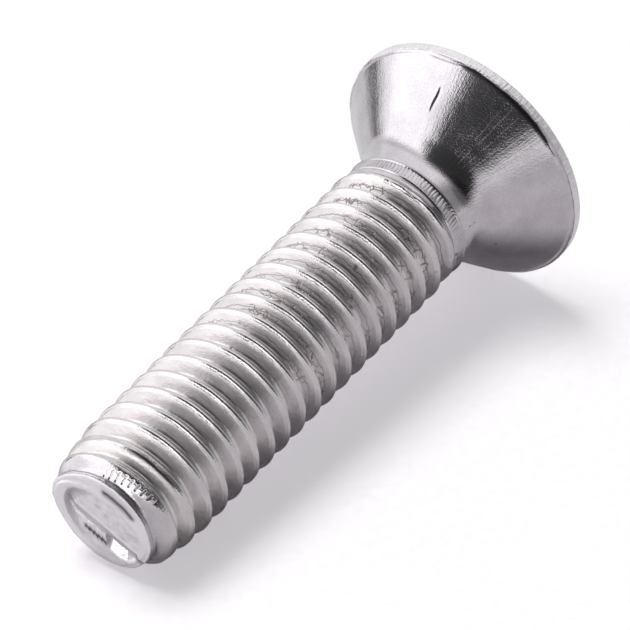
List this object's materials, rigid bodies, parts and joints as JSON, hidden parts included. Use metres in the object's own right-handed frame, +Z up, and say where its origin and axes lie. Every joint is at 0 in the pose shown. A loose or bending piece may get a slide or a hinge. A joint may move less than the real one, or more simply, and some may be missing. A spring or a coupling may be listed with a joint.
{
  "type": "countersunk thread-forming screw",
  "caption": "Countersunk thread-forming screw in bright plated steel, with a lobed drive socket, a right-hand rolled machine thread and a short tapered flat-ended point.",
  "frame": {"origin": "on the table, under the middle of the screw's bounding box", "axes": "+Z up; the screw lies along X with its head towards +X and its tip towards -X, the tip dipping by 7 degrees because it rests on the rim of its head and on one thread crest near the tip"},
  "size_m": [0.0248, 0.011, 0.011],
  "materials": {
    "plated_steel": "bright zinc-plated steel, rolled and tumbled, semi-gloss with fine rolling lines"
  },
  "bodies": {
    "root": {"screw": "plated_steel"}
  },
  "joints": []
}
